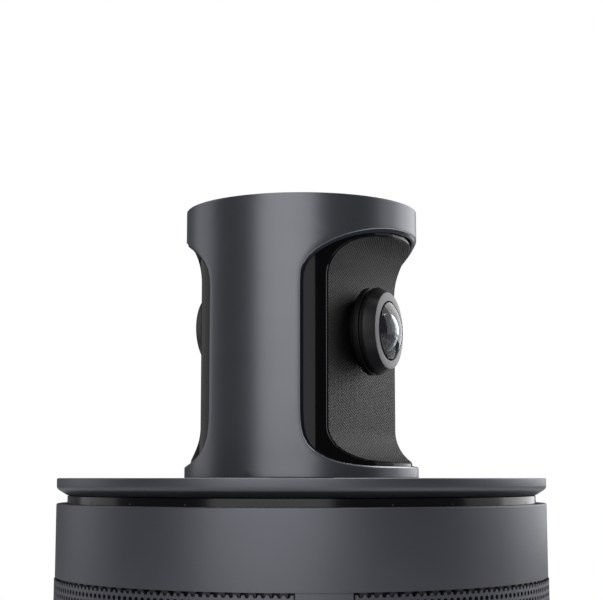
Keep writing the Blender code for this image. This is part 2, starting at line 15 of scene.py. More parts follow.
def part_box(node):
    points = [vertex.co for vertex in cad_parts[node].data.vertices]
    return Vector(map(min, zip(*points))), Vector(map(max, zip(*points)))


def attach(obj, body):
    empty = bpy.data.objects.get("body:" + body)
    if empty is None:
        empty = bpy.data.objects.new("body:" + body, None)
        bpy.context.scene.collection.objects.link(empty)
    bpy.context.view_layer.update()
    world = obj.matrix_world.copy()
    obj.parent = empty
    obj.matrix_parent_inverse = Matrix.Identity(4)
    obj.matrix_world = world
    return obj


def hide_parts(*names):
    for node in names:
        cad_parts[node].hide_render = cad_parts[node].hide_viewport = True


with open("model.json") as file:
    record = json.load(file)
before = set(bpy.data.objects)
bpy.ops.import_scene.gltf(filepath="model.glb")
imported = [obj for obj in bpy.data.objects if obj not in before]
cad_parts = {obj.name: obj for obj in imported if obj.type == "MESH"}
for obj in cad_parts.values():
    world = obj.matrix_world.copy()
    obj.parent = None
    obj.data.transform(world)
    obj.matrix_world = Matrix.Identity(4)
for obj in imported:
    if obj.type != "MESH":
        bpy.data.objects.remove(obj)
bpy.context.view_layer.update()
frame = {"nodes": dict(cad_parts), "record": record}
MM = 0.001
AROUND = 256                     # faces round the base and the turret
SMOOTH_LIMIT = math.radians(32)
FIT = 0.3                        # gap between pieces that meet


def limits(node):
    """Lowest and highest corner of a CAD node."""
    return [tuple(v / MM for v in corner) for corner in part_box(node)]


def azimuth_of(node):
    low, high = limits(node)
    return math.atan2(low[0] + high[0], -low[1] - high[1])


# ---- Places and sizes taken from the CAD model ----

BASE_R = limits("deck_disc")[1][0]
DRUM_Z = (limits("base_housing")[0][2], limits("base_housing")[1][2])
DECK_TOP = limits("deck_disc")[1][2]
RING_R = limits("mic_ring")[1][0]
RING_Z = (limits("mic_ring")[0][2], limits("mic_ring")[1][2])
GRILLE_R = limits("grille_right")[1][0]
GRILLE_Z = (limits("grille_right")[0][2], limits("grille_right")[1][2])
TURRET_R = limits("turret_shell")[1][0]
TURRET_Z = (limits("turret_shell")[0][2], limits("turret_shell")[1][2])
CORE_R = limits("turret_core")[1][0]
CORE_Z = (limits("turret_core")[0][2], limits("turret_core")[1][2])
CAP_R = limits("top_cap")[1][0]
CAP_Z = (limits("top_cap")[0][2], limits("top_cap")[1][2])
LENS_AZ = azimuth_of("image_sensor_a")
OUTWARD = Vector((math.sin(LENS_AZ), -math.cos(LENS_AZ), 0.0))
LENS_Z = {s: sum(c[2] for c in limits("lens_mount_" + s)) / 2 for s in "ab"}
SIDES = (("a", 0.0), ("b", math.pi))     # each lens and how far its axis is turned from lens a's


MOUNT_MIDDLE = 7.7               # middle of a square lens mount that isn't set out, from the axis


def lens_out(side):
    """How far a lens module is set out along its axis, from where its square mount stands."""
    low, high = limits("lens_mount_" + side)
    centre = Vector(((low[0] + high[0]) / 2, (low[1] + high[1]) / 2, 0.0))
    return centre.length - MOUNT_MIDDLE


# ---- Materials ----


def tone(hexa):
    """A linear colour from an sRGB one written in hexadecimal."""
    parts = [int(hexa[i:i + 2], 16) / 255 for i in (1, 3, 5)]
    return (*[c / 12.92 if c <= 0.04045 else ((c + 0.055) / 1.055) ** 2.4 for c in parts], 1.0)


def add(tree, kind, inputs=None, **settings):
    """Adds a shader node. Its inputs are given by name or number, as values or as sockets to link."""
    made = tree.nodes.new(kind)
    for key, value in settings.items():
        setattr(made, key, value)
    for key, value in (inputs or {}).items():
        if isinstance(value, bpy.types.NodeSocket):
            tree.links.new(value, made.inputs[key])
        else:
            made.inputs[key].default_value = value
    return made


CLOUD = 14                       # size of the patches over which a tone wanders


def surface(name, light, dark, rough, grain, relief, metal=0.0, spread=0.05, stretch=(1, 1, 1), **more):
    """A finish with fine grain.

    The tone wanders between light and dark. Grain is the size and relief the height of the surface
    texture, in millimetres, and stretch draws it out along an axis. Spread is how far the roughness
    varies either way.
    """
    made = bpy.data.materials.new(name)
    made.use_nodes = True
    tree = made.node_tree
    shader = tree.nodes["Principled BSDF"]
    spot = add(tree, "ShaderNodeTexCoord").outputs["Object"]
    drawn = add(tree, "ShaderNodeMapping", {"Vector": spot, "Scale": stretch}).outputs[0]
    fine = add(tree, "ShaderNodeTexNoise", {"Vector": drawn, "Scale": 1 / (grain * MM), "Detail": 2.0})
    wide = add(tree, "ShaderNodeTexNoise", {"Vector": drawn, "Scale": 1 / (CLOUD * MM), "Detail": 4.0})
    # The colour sockets of a mix node are numbers 6 and 7, and its colour output is number 2
    blend = {0: wide.outputs[0], 6: tone(light), 7: tone(dark)}
    colour = add(tree, "ShaderNodeMix", blend, data_type="RGBA").outputs[2]
    tree.links.new(colour, shader.inputs["Base Color"])
    reach = {"Value": fine.outputs[0], "To Min": rough - spread, "To Max": rough + spread}
    tree.links.new(add(tree, "ShaderNodeMapRange", reach).outputs[0], shader.inputs["Roughness"])
    raised = {"Height": fine.outputs[0], "Distance": relief * MM, "Strength": 1.0}
    tree.links.new(add(tree, "ShaderNodeBump", raised).outputs[0], shader.inputs["Normal"])
    shader.inputs["Metallic"].default_value = metal
    for key, value in more.items():
        shader.inputs[key.replace("_", " ")].default_value = value
    return made


# Bead-blasted aluminium, anodised in a dark blue grey: a soft, broad highlight and a faint grain.
ANODISED = surface("anodised_aluminium", "#74757A", "#6C6D72", 0.33, 0.35, 0.004, metal=0.92, spread=0.03)
# The base has the same finish, blasted a little coarser, which spreads its highlights further; its tone is
# also a little darker, painted shade for the weaker light on the base, which sits below the soft lights'
# middle.
BLASTED_AND_PAINTED_SHADE = surface("blasted_anodised_aluminium_painted_shade", "#6C6D73", "#64656B", 0.43, 0.4, 0.005, metal=0.9,
                  spread=0.03)
# The edge of a window: a hairline of painted highlight, a bright, almost bare-looking metal that stands in
# for the light the lip catches.
WINDOW_LIP_PAINTED_HIGHLIGHT = surface("window_lip_painted_highlight", "#A9ABB0", "#9FA1A6", 0.24, 0.3, 0.002, metal=1.0,
                   spread=0.03)
# The return behind it is painted shade: a darker, bluish tone that stands in for the shadow on the window's
# slope and wall.
WINDOW_RETURN_PAINTED_SHADE = surface("window_return_painted_shade", "#33363F", "#2C2F37", 0.3, 0.35, 0.003, metal=0.9, spread=0.03)
# Moulded acrylic, piano black: a mirror-like sheen over black, with a hint of waviness.
GLOSS = surface("gloss_black_acrylic", "#0A0A0B", "#070708", 0.07, 6.0, 0.002, spread=0.02)
# The same acrylic with an anti-glare finish round the lenses: a fainter reflection.
SMOKED = surface("anti_glare_acrylic", "#050506", "#030304", 0.06, 6.0, 0.002, spread=0.02,
                 Specular_IOR_Level=0.22)
# Dark grey and dull. On the small tabs it is painted shade, the anodised tone as it looks in shadow; on the
# rims of the microphone ports it is grey moulded polycarbonate.
GREY_AND_PAINTED_SHADE = surface("grey_plastic_and_painted_shade", "#4C4D50", "#434447", 0.5, 0.4, 0.01)
# Black acrylic with a silk finish, round the microphones: its reflections have soft edges.
SILK = surface("silk_black_acrylic", "#0A0A0B", "#070708", 0.17, 6.0, 0.002, spread=0.02,
               Specular_IOR_Level=0.38)
# Black anodised aluminium of the lens tube, nearly without a sheen.
TUBE = surface("black_anodised_tube", "#101011", "#0B0B0C", 0.5, 0.3, 0.01, Specular_IOR_Level=0.3)
# Moulded black polycarbonate with a spark-eroded texture.
MATTE = surface("matte_black_plastic", "#1C1C1D", "#141415", 0.5, 0.4, 0.02)
# Machined and bead-blasted aluminium ring, black anodised, in a lighter tone than the barrel, given to the
# faces that look out along the lens axis.
RING = surface("lens_ring_aluminium", "#545456", "#4C4C4E", 0.3, 0.2, 0.004, metal=0.9, spread=0.04)
# The outer cone of the same ring, blasted: darker and duller.
CONE = surface("lens_cone_aluminium", "#333334", "#2A2A2B", 0.36, 0.2, 0.006, metal=0.6, spread=0.04)
# Glass-fibre circuit board under green solder resist.
BOARD = surface("circuit_board_laminate", "#1F5236", "#17402A", 0.35, 1.2, 0.03)
# Nickel-plated sheet steel, lightly rolled.
STEEL = surface("plated_steel", "#B4B4B2", "#9C9C9A", 0.3, 0.5, 0.004, metal=1.0, stretch=(1, 6, 1))
# Turned bearing brass.
BRASS = surface("turned_brass", "#B99A55", "#A3853F", 0.32, 0.4, 0.006, metal=1.0, stretch=(1, 1, 7))
# Hard gold plating on the contacts of the network socket: warm and bright.
GOLD = surface("gold_plated_contact", "#D9B35A", "#C9A248", 0.25, 0.3, 0.002, metal=1.0)
# Extruded aluminium, black anodised.
SINK = surface("extruded_heat_sink", "#3C3C3E", "#303032", 0.45, 0.5, 0.01, metal=0.8, stretch=(1, 8, 1))
# Natural moulded nylon.
NYLON = surface("natural_nylon", "#DBD7CB", "#CFCABC", 0.45, 0.6, 0.01, Subsurface_Weight=0.1)
# Woven acoustic cloth, black.
CLOTH = surface("woven_speaker_cloth", "#151516", "#0B0B0C", 0.95, 0.25, 0.08, stretch=(1, 1, 2))
# Silicone rubber foot.
RUBBER = surface("silicone_rubber", "#1A1A1B", "#121213", 0.72, 0.5, 0.02)
# Pressed paper cone.
PAPER = surface("pressed_paper", "#312E2B", "#262421", 0.9, 0.6, 0.05)
# Polished optical glass with a bluish coating.
GLASS = surface("coated_lens_glass", "#E9EEF5", "#DDE6F2", 0.012, 9.0, 0.0, spread=0.004,
                Transmission_Weight=1.0, IOR=1.7)
# The second element of the lens, seen deep inside as a dark, bluish bulge.
INNER_GLASS = surface("inner_lens_glass", "#101A2C", "#0A111E", 0.03, 9.0, 0.0, spread=0.01,
                      IOR=1.7, Specular_Tint=tone("#8FB0FF"))


BACK = 16.6                      # flat back of the recess, from the axis
LINING_PROUD = 0.25              # how far the knurled lining stands out of it
KNURL_PITCH = (1.6, 0.75)        # of the knurl across and up the recess
KNURL_RELIEF = 0.11


def knurled():
    """Moulded black plastic with a fine diamond knurl, cut on both diagonals.

    Depth is added to height, so the knurl runs on round the foot and the head of the recess.
    """
    made = surface("knurled_black_plastic", "#101010", "#0C0C0C", 0.42, 0.3, 0.01, Specular_IOR_Level=0.2)
    tree = made.node_tree
    spot = add(tree, "ShaderNodeTexCoord").outputs["Object"]
    sideways = Vector((math.cos(LENS_AZ), math.sin(LENS_AZ), 0.0))

    def along(axis):
        product = add(tree, "ShaderNodeVectorMath", {0: spot, 1: axis}, operation="DOT_PRODUCT")
        return product.outputs["Value"]

    def maths(kind, first, second=0.0):
        return add(tree, "ShaderNodeMath", {0: first, 1: second}, operation=kind).outputs[0]

    middle = (CORE_Z[0] + CORE_Z[1]) / 2 * MM
    height = maths("SUBTRACT", along((0, 0, 1)), middle)
    depth = maths("SUBTRACT", maths("ABSOLUTE", along(OUTWARD)), (BACK + LINING_PROUD) * MM)
    climb = maths("ADD", height, maths("MULTIPLY", maths("SIGN", height), depth))
    rising = maths("MULTIPLY", climb, math.tau / (KNURL_PITCH[1] * MM))
    across = maths("MULTIPLY", along(sideways), math.tau / (KNURL_PITCH[0] * MM))
    ridges = [maths("SINE", maths(kind, across, rising)) for kind in ("ADD", "SUBTRACT")]
    raised = {"Height": maths("MAXIMUM", *ridges), "Distance": KNURL_RELIEF * MM, "Strength": 1.0}
    bump = add(tree, "ShaderNodeBump", raised).outputs[0]
    tree.links.new(bump, tree.nodes["Principled BSDF"].inputs["Normal"])
    return made


KNURL = knurled()
BY_SLOT = {
    "anodised_shell": ANODISED,
    "gloss_black": GLOSS,
    "matte_black": MATTE,
    "textured_black": KNURL,
    "lens_ring": RING,
    "lens_glass": GLASS,
    "circuit_board": BOARD,
    "plated_steel": STEEL,
    "bearing_brass": BRASS,
    "heat_sink": SINK,
    "nylon": NYLON,
    "speaker_cloth": CLOTH,
    "foot_rubber": RUBBER,
    "cone_paper": PAPER,
}

# ---- Building ----


def rounded(points, radius, closed=False, steps=4):
    """Rounds an outline's corners. A corner may carry a radius of its own as a third number."""
    made = []
    count = len(points)
    for i, point in enumerate(points):
        here = Vector(point[:2])
        r = point[2] if len(point) > 2 else radius
        if r == 0 or (not closed and i in (0, count - 1)):
            made.append(tuple(here))
            continue
        back = Vector(points[i - 1][:2]) - here
        ahead = Vector(points[(i + 1) % count][:2]) - here
        reach = min(r / math.tan(back.angle(ahead) / 2), 0.45 * back.length, 0.45 * ahead.length)
        start = here + back.normalized() * reach
        end = here + ahead.normalized() * reach
        for k in range(steps + 1):
            t = k / steps
            made.append(tuple((1 - t) ** 2 * start + 2 * t * (1 - t) * here + t * t * end))
    return made


def arc(centre, radii, start, end, steps):
    """Points on an ellipse between two angles in degrees."""
    angles = [math.radians(start + (end - start) * i / steps) for i in range(steps + 1)]
    return [(centre[0] + radii[0] * math.cos(a), centre[1] + radii[1] * math.sin(a)) for a in angles]


def lathe(profile, closed=True, steps=AROUND):
    """A profile of (radius, height) points turned round +Z."""
    shape = bmesh.new()
    verts = [shape.verts.new((r * MM, 0.0, z * MM)) for r, z in profile]
    edges = [shape.edges.new(pair) for pair in zip(verts, verts[1:])]
    if closed:
        edges.append(shape.edges.new((verts[-1], verts[0])))
    bmesh.ops.spin(shape, geom=verts + edges, cent=(0, 0, 0), axis=(0, 0, 1), dvec=(0, 0, 0),
                   angle=math.tau, steps=steps, use_merge=True, use_duplicate=False)
    bmesh.ops.remove_doubles(shape, verts=shape.verts, dist=0.00005 * MM)
    return shape


def warped(columns, rows, formula):
    """A grid of faces whose points are placed by a formula of two numbers from 0 to 1."""
    shape = bmesh.new()
    bmesh.ops.create_grid(shape, x_segments=columns, y_segments=rows, size=0.5)
    for vert in shape.verts:
        vert.co = Vector(formula(vert.co.x + 0.5, vert.co.y + 0.5)) * MM
    bmesh.ops.remove_doubles(shape, verts=shape.verts, dist=0.0005 * MM)
    return shape


def block(x, y, z, soft=0.2):
    """A block between the two limits given along each axis, with softened edges."""
    shape = bmesh.new()
    size = [(high - low) * MM for low, high in (x, y, z)]
    centre = [(high + low) * MM / 2 for low, high in (x, y, z)]
    placed = Matrix.Translation(centre) @ Matrix.Diagonal((*size, 1.0))
    bmesh.ops.create_cube(shape, size=1.0, matrix=placed)
    if soft:
        bmesh.ops.bevel(shape, geom=list(shape.edges), offset=soft * MM, affect="EDGES", segments=2,
                        profile=0.5, material=-1)
    return shape


def joined(*shapes):
    """Several shapes as one."""
    whole = shapes[0]
    for other in shapes[1:]:
        mesh = bpy.data.meshes.new("part")
        other.to_mesh(mesh)
        other.free()
        whole.from_mesh(mesh)
        bpy.data.meshes.remove(mesh)
    return whole


def aimed(shape, azimuth, height, out=0.0):
    """Lays a shape built round +Z along an azimuth, lifted and moved out along it."""
    place = Matrix.Translation((0, -out * MM, height * MM)) @ Matrix.Rotation(math.pi / 2, 4, "X")
    bmesh.ops.transform(shape, matrix=Matrix.Rotation(azimuth, 4, "Z") @ place, verts=shape.verts)
    return shape


def crease(shape):
    """Keeps an edge sharp where its two faces meet at more than the smooth limit."""
    for edge in shape.edges:
        edge.smooth = len(edge.link_faces) != 2 or edge.calc_face_angle(0.0) < SMOOTH_LIMIT


def piece(name, shape, material, body=None, stands_for=(), closed=True):
    """Makes a visible piece of a shape. It rides with a CAD body and may stand for CAD nodes."""
    if closed:
        bmesh.ops.recalc_face_normals(shape, faces=shape.faces)
    for face in shape.faces:
        face.smooth = True
    crease(shape)
    mesh = bpy.data.meshes.new(name)
    shape.to_mesh(mesh)
    shape.free()
    item = bpy.data.objects.new(name, mesh)
    bpy.context.scene.collection.objects.link(item)
    if material:
        mesh.materials.append(material)
    if body:
        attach(item, body)
        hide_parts(*stands_for)
    return item


def settle(item, *cutters):
    """Applies an item's modifiers, after cutting it with shapes that are then thrown away."""
    tools = [piece("tool", shape, None) for shape in cutters]
    for tool in tools:
        step = item.modifiers.new("cut", "BOOLEAN")
        step.operation = "DIFFERENCE"
        step.solver = "EXACT"
        step.object = tool
    ready = item.evaluated_get(bpy.context.evaluated_depsgraph_get())
    mesh = bpy.data.meshes.new_from_object(ready)
    item.modifiers.clear()
    item.data = mesh
    shape = bmesh.new()
    shape.from_mesh(mesh)
    crease(shape)
    shape.to_mesh(mesh)
    shape.free()
    for tool in tools:
        bpy.data.objects.remove(tool)
    return item


def thicken(item, thickness):
    """Gives a sheet its thickness inwards."""
    solid = item.modifiers.new("thick", "SOLIDIFY")
    solid.thickness = thickness * MM
    solid.offset = -1.0
    solid.use_even_offset = True
    return settle(item)


def soften(item, width, segments, angle):
    """Rounds the edges where faces meet at more than an angle in degrees."""
    bevel = item.modifiers.new("edge", "BEVEL")
    bevel.width = width * MM
    bevel.segments = segments
    bevel.limit_method = "ANGLE"
    bevel.angle_limit = math.radians(angle)
    bevel.profile = 0.5


def bent(azimuth, radius, z):
    """A point on an upright cylinder."""
    return (radius * math.sin(azimuth), -radius * math.cos(azimuth), z)


def sector(inner, outer, start, end, low, high, steps=48):
    """An upright block that follows the base round, between two azimuths in degrees."""
    def point(u, v):
        turn = math.radians(start + (end - start) * u)
        corner = min(int(v * 4 + 0.5), 4) % 4
        return bent(turn, (inner, outer, outer, inner)[corner], (low, low, high, high)[corner])

    shape = warped(steps, 4, point)
    ends = [edge for edge in shape.edges if edge.is_boundary]
    bmesh.ops.holes_fill(shape, edges=ends, sides=8)
    return shape


def facing(shape, direction):
    """Turns a sheet's faces over if they look away from a direction."""
    shape.normal_update()
    if sum((face.normal * face.calc_area() for face in shape.faces), Vector()).dot(direction) < 0:
        bmesh.ops.reverse_faces(shape, faces=shape.faces)
    return shape


# ---- Base ----

WALL = 2.3
DRUM_EDGE = 0.45                 # rounding of the drum's two rims
LEDGE_R = 50.0                   # inner edge of the ledge in the drum's foot
LEDGE_Z = (5.6, 8.6)
GRILLE_GAP = 0.5                 # shadow line above the grille
STRIP_HALF = 5.75                # half of the plain front strip, in degrees
REAR_HALF = 30.0                 # half of the plain rear strip
GROOVE_DEPTH = 0.25              # of the parting line across the front strip
BUTTON_Z = sum(c[2] for c in limits("power_button")) / 2
BUTTON_R = 3.6
PORT_WINDOW = ((-23.0, 22.0), (45, 70), (60.5, 73.0))


def base_housing():
    inner = BASE_R - WALL
    low, high = DRUM_Z
    outline = [(inner, high), (BASE_R, high, DRUM_EDGE), (BASE_R, low, DRUM_EDGE), (inner, low),
               (inner, LEDGE_Z[0]), (LEDGE_R, LEDGE_Z[0]), (LEDGE_R, LEDGE_Z[1]), (inner, LEDGE_Z[1])]
    outline = rounded(outline, 0.15, closed=True)
    drum = piece("base_housing_body", lathe(outline), BLASTED_AND_PAINTED_SHADE, "base", ["base_housing"])
    cutters = []
    for sign in (1, -1):
        ends = sorted((sign * STRIP_HALF, sign * (180 - REAR_HALF)))
        heights = (GRILLE_Z[0] - FIT, GRILLE_Z[1] + GRILLE_GAP)
        cutters.append(sector(BASE_R - 4, BASE_R + 4, *ends, *heights))
    groove = (GRILLE_Z[1] + FIT, GRILLE_Z[1] + GRILLE_GAP)
    cutters.append(sector(BASE_R - GROOVE_DEPTH, BASE_R + 1, -STRIP_HALF, STRIP_HALF, *groove, 8))
    cutters.append(block(*PORT_WINDOW, 0))
    hole_r = BUTTON_R + 0.4
    hole = lathe([(0, 50), (hole_r, 50), (hole_r, 70), (0, 70)], False, 64)
    cutters.append(aimed(hole, math.pi, BUTTON_Z))
    return settle(drum, *cutters)


HOLE_R = 0.55
HOLES_A_TURN = 224
ROW_STEP = 1.57
ROWS = 38                        # even, because wide and short rows alternate
TOP_ROW = 0.1                    # how far the top row's centres lie below the sheet's edge
PITCH = math.tau * BASE_R / HOLES_A_TURN
SHEET = 0.6                      # thickness of the perforated sheet


def grille(side, sign):
    """Half of the perforated sheet: punched flat, trimmed through its top row of holes, then rolled."""
    start = math.radians(STRIP_HALF) * BASE_R + FIT
    end = math.radians(180 - REAR_HALF) * BASE_R - FIT
    columns = int((end - start) / PITCH)
    first = (start + end - columns * PITCH) / 2
    flat = bmesh.new()
    half = (PITCH / 2, ROW_STEP / 2)
    bmesh.ops.create_circle(flat, cap_ends=False, segments=8, radius=HOLE_R)
    rim = bmesh.ops.create_circle(flat, cap_ends=False, segments=8, radius=1.0)["verts"]
    for vert in rim:
        vert.co = Vector([(abs(c) > 0.1) * math.copysign(h, c) for c, h in zip(vert.co, half)] + [0])
    bmesh.ops.bridge_loops(flat, edges=list(flat.edges))
    cell = list(flat.verts) + list(flat.edges) + list(flat.faces)

    def repeat(geometry, step, times):
        made = list(geometry)
        for k in range(1, times):
            copy = bmesh.ops.duplicate(flat, geom=geometry)["geom"]
            verts = [v for v in copy if isinstance(v, bmesh.types.BMVert)]
            bmesh.ops.translate(flat, vec=Vector(step) * k, verts=verts)
            made += copy
        return made

    short = bmesh.ops.duplicate(flat, geom=cell)["geom"]
    verts = [v for v in short if isinstance(v, bmesh.types.BMVert)]
    bmesh.ops.translate(flat, vec=(PITCH, -ROW_STEP, 0), verts=verts)
    wide_row = repeat(cell, (PITCH, 0, 0), columns)
    short_row = repeat(short, (PITCH, 0, 0), columns - 1)
    for vert in short_row:
        if isinstance(vert, bmesh.types.BMVert):
            vert.co.x -= PITCH / 2
    for k in (0, columns - 0.5):
        grid = bmesh.ops.create_grid(flat, x_segments=1, y_segments=2, size=0.5)["verts"]
        for vert in grid:
            vert.co.x = (vert.co.x + 0.5) * PITCH / 2 + k * PITCH - PITCH / 2
            vert.co.y = vert.co.y * ROW_STEP - ROW_STEP
        faces = {face for vert in grid for face in vert.link_faces}
        edges = {edge for vert in grid for edge in vert.link_edges}
        short_row += list(grid) + list(edges) + list(faces)
    repeat(wide_row + short_row, (0, -2 * ROW_STEP, 0), ROWS // 2)
    top = GRILLE_Z[1] - TOP_ROW
    for vert in flat.verts:
        vert.co = ((vert.co.x + PITCH / 2 + first) * MM, (vert.co.y + top) * MM, 0)
    bmesh.ops.remove_doubles(flat, verts=flat.verts, dist=0.01 * MM)
    for axis, edge_at, to in ((0, first, start), (0, first + columns * PITCH, end),
                              (1, top - (ROWS - 0.5) * ROW_STEP, GRILLE_Z[0])):
        edges = [e for e in flat.edges if e.is_boundary and all(abs(v.co[axis] - edge_at * MM) < 0.02 * MM
                                                                for v in e.verts)]
        out = bmesh.ops.extrude_edge_only(flat, edges=edges)["geom"]
        for vert in out:
            if isinstance(vert, bmesh.types.BMVert):
                vert.co[axis] = to * MM
    bmesh.ops.bisect_plane(flat, geom=list(flat.verts) + list(flat.edges) + list(flat.faces),
                           dist=0.001 * MM, plane_co=(0, GRILLE_Z[1] * MM, 0), plane_no=(0, 1, 0),
                           clear_outer=True)
    for vert in flat.verts:
        turn = sign * vert.co.x / (BASE_R * MM)
        vert.co = Vector(bent(turn, GRILLE_R, vert.co.y / MM)) * MM
    middle = sign * math.radians((STRIP_HALF + 180 - REAR_HALF) / 2)
    facing(flat, Vector(bent(middle, 1, 0)))
    sheet = piece("grille_sheet_" + side, flat, BLASTED_AND_PAINTED_SHADE, "base", ["grille_" + side],
                  closed=False)
    return thicken(sheet, SHEET)


BAND_R = (55.9, 57.3)            # ring that locates the grilles
BAND_Z = (70, 77)
BAND_GAP = ((-25, 25), (40, 70), (0, 80))    # left out of it at the rear, for the sockets
TAB_R = (57.9, 58.9)
TAB_Z = (73.4, 74.9)
TAB_HALF = 0.8                   # in degrees
FOOT_R = (45, 51)
FOOT_HEIGHT = 3


def squared(radii, heights):
    """The four corners of a ring's cross-section."""
    return [(radii[1], heights[1]), (radii[1], heights[0]), (radii[0], heights[0]), (radii[0], heights[1])]


def grille_band():
    """The ring behind the upper edge of the grilles, and its tabs at every second hole."""
    tabs = []
    count = HOLES_A_TURN // 2
    for k in range(count):
        turn = (k + 0.5) / count * 360
        if STRIP_HALF < turn < 180 - REAR_HALF or 180 + REAR_HALF < turn < 360 - STRIP_HALF:
            tabs.append(sector(*TAB_R, turn - TAB_HALF, turn + TAB_HALF, *TAB_Z, 2))
    ring = lathe(rounded(squared(BAND_R, BAND_Z), 0.1, True))
    ring = piece("grille_locating_band", ring, MATTE, "base", ["grille_locating_ring"])
    settle(ring, block(*BAND_GAP, 0))
    # The tabs' dark grey is painted shade: the anodised tone as it looks in the shadow of the gap above the
    # grille.
    piece("grille_tabs", joined(*tabs), GREY_AND_PAINTED_SHADE, "base")


SHANK_R = 1.2
SHANK_BORE_R = 1.6
HEAD_R = 2.4
HEAD_SEAT = 3.0                  # height at which the heads of the bottom screws end and their shanks begin
CROSS = (1.4, 0.3)               # half length and half width of the cross slot in a screw's head
CROSS_DEPTH = 0.7


def base():
    base_housing()
    grille("right", 1)
    grille("left", -1)
    grille_band()
    foot = rounded(squared(FOOT_R, (FOOT_HEIGHT, 0)), 0.5, True)
    piece("foot_pad", lathe(foot), RUBBER, "base", ["foot_ring"])
    edge = limits("bottom_plate")[1][0]
    low, high = limits("bottom_plate")[0][2], limits("bottom_plate")[1][2]
    plate = lathe(rounded([(0, high), (edge, high, 0.2), (edge, low, 0.4), (0, low)], 0.2), False)
    plate = piece("bottom_cover", plate, MATTE, "base", ["bottom_plate"])
    bores = []
    for number in (1, 2, 3):
        low, high = limits(f"bottom_screw_{number}")
        x, y = ((a + b) / 2 for a, b in zip(low[:2], high[:2]))
        bore = lathe([(0, 1), (SHANK_BORE_R, 1), (SHANK_BORE_R, 8), (0, 8)], False, 32)
        bmesh.ops.translate(bore, vec=(x * MM, y * MM, 0), verts=bore.verts)
        bores.append(bore)
        face, tip = low[2], high[2]
        profile = [(0, face), (HEAD_R, face, 0.6), (HEAD_R, HEAD_SEAT), (SHANK_R, HEAD_SEAT),
                   (SHANK_R, tip), (0, tip)]
        screw = lathe(rounded(profile, 0.1), False, 32)
        bmesh.ops.translate(screw, vec=(x * MM, y * MM, 0), verts=screw.verts)
        item = piece(f"bottom_screw_head_{number}", screw, STEEL, "base",
                     [f"bottom_screw_{number}"])
        cuts = []
        for a, b in (CROSS, reversed(CROSS)):
            cuts.append(block((x - b, x + b), (y - a, y + a), (0, face + CROSS_DEPTH), 0))
        settle(item, *cuts)
    settle(plate, *bores)


BOSS_R = (11.3, 17.0)            # bore and outside of the boss under the deck
BOSS_FOOT = 88.0
DECK_FACE = 2.5                  # height of the deck's upright face, down to its chamfer
RING_INNER_R = 54.0
MIC_PORTS = 24
PORT_R = (0.09, 0.19)            # hole and outside of a microphone port's rim
PORT_RIM = 0.06                  # its thickness, of which a third is sunk in the ring
PORT_RISE = 0.35                 # height of the ports over the drum


def deck():
    under = RING_Z[1] + 0.15
    outline = [(BOSS_R[0], DECK_TOP), (BASE_R, DECK_TOP, 0.35), (BASE_R, DECK_TOP - DECK_FACE, 1.3),
               (RING_R + 0.1, under, 0.05), (BOSS_R[1], under), (BOSS_R[1], BOSS_FOOT),
               (BOSS_R[0], BOSS_FOOT)]
    outline = rounded(outline, 0.2, closed=True)
    piece("deck_plate", lathe(outline), BLASTED_AND_PAINTED_SHADE, "base", ["deck_disc"])
    ring = lathe(rounded(squared((RING_INNER_R, RING_R), RING_Z), 0.15, True))
    piece("mic_ring_band", ring, SILK, "base", ["mic_ring"])
    ports = []
    foot = RING_R - PORT_RIM / 3
    for k in range(MIC_PORTS):
        eye = lathe(rounded(squared(PORT_R, (foot, foot + PORT_RIM)), 0.02, True, 2), True, 16)
        ports.append(aimed(eye, math.tau * k / MIC_PORTS, DRUM_Z[1] + PORT_RISE))
    piece("mic_port_rims", joined(*ports), GREY_AND_PAINTED_SHADE, "base")


# ---- Turret ----

SHELL_WALL = 1.2
WINDOW_HALF = 26.6
WINDOW_Z = (DECK_TOP + 2.4, DECK_TOP + 59.8)
WINDOW_FOOT = (20.0, 6.0)        # height of the curved part, and how square its corners are
WINDOW_HEAD = (14.5, 2.8)
# The window's edge as (inset, inset at the sill, depth): a lip painted bright as a highlight, then a slope
# that the sill lacks and a wall, both painted dark as shade
LIP_DEPTH = 0.3
WINDOW_EDGE = ((0.0, 0.0, 0.0), (0.14, 0.3, LIP_DEPTH), (0.95, 0.36, 0.52), (0.95, 0.36, SHELL_WALL))
WIDE, TALL = 84, 30              # faces along the window's long and short way round
SHELL_FOOT = DECK_TOP + 0.04


def oval(half, part, start, end, steps=32):
    """Part of a squared-off oval, given by its middle height, its own height and its squareness."""
    middle, height, squareness = part
    points = []
    for i in range(steps + 1):
        angle = math.radians(start + (end - start) * i / steps)
        x, z = math.cos(angle), math.sin(angle)
        x = math.copysign(abs(x) ** (2 / squareness), x) * half
        z = math.copysign(abs(z) ** (2 / squareness), z) * height
        points.append((x, middle + z))
    return points


def spaced(line, cells):
    """Points at equal distances along a line, without its last one."""
    lengths = [math.dist(a, b) for a, b in zip(line, line[1:])]
    made = []
    for cell in range(cells):
        left = sum(lengths) * cell / cells
        k = 0
        while left > lengths[k]:
            left -= lengths[k]
            k += 1
        part = left / lengths[k] if lengths[k] else 0.0
        made.append(tuple(a + (b - a) * part for a, b in zip(line[k], line[k + 1])))
    return made


